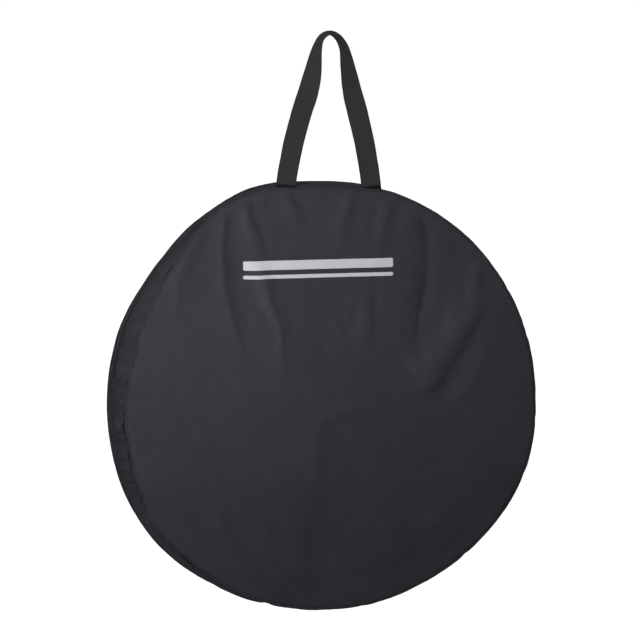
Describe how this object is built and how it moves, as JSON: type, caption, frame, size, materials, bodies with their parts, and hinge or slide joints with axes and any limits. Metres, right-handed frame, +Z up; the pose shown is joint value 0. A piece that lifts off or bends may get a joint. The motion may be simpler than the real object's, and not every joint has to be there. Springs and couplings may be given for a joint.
{
  "type": "bike wheel bag",
  "caption": "Round dark fabric bag for one bicycle wheel, with a gusset, a webbing loop handle and a zipped half that folds open.",
  "frame": {"origin": "underside of the webbing loop at its top, where a hook carries the bag; the loop and the front seam lie in the plane Y = 0", "axes": "+X to the right seen from the front, +Y from the front panel to the back panel, +Z up along the handle"},
  "size_m": [0.7991, 0.1354, 1.0807],
  "materials": {
    "panel_cloth": "coated plain-weave cloth, dark charcoal, soft sheen",
    "gusset_cloth": "coated plain-weave cloth, darker charcoal",
    "piping_cloth": "cloth folded over a cord, charcoal",
    "webbing": "woven webbing, near-black",
    "zip_tape": "zipper tape with a plastic coil, black",
    "seam_binding": "folded binding tape, black",
    "slider_metal": "cast metal, dark plating"
  },
  "bodies": {
    "shell": {"front_panel": "panel_cloth", "front_piping": "piping_cloth", "front_seam_binding": "seam_binding", "back_panel_lower": "panel_cloth", "back_piping_lower": "piping_cloth", "back_seam_binding": "seam_binding", "gusset_lower": "gusset_cloth", "gusset_front_strip": "gusset_cloth", "zipper_half_front": "zip_tape", "zipper_tail_left": "zip_tape", "zipper_tail_right": "zip_tape", "zipper_end_tab_left": "piping_cloth", "zipper_end_tab_right": "piping_cloth", "handle_root_left": "webbing", "handle_root_right": "webbing"},
    "handle": {"handle_strap": "webbing"},
    "back_flap": {"back_flap_panel": "panel_cloth", "back_flap_piping": "piping_cloth", "back_flap_gusset": "gusset_cloth", "flap_seam_binding": "seam_binding", "zipper_half_flap": "zip_tape"},
    "slider": {"slider_body": "slider_metal"},
    "pull": {"pull_tab": "slider_metal"}
  },
  "joints": [
    {"name": "handle_swing", "type": "hinge", "parent": "shell", "child": "handle", "pos_m": [0, 0, -0.27886], "axis": [1, 0, 0], "range_deg": [-85, 100]},
    {"name": "flap_fold", "type": "hinge", "parent": "shell", "child": "back_flap", "pos_m": [0, 0.1165, -0.61092], "axis": [-1, 0, 0], "range_deg": [0, 160]},
    {"name": "slider_run", "type": "hinge", "parent": "shell", "child": "slider", "pos_m": [0, 0.075, -0.67986], "axis": [0, 1, 0], "range_deg": [-163.59, 0]},
    {"name": "pull_swing", "type": "hinge", "parent": "slider", "child": "pull", "pos_m": [0.39581, 0.075, -0.6228], "axis": [0, -1, 0], "range_deg": [0, 170]}
  ]
}
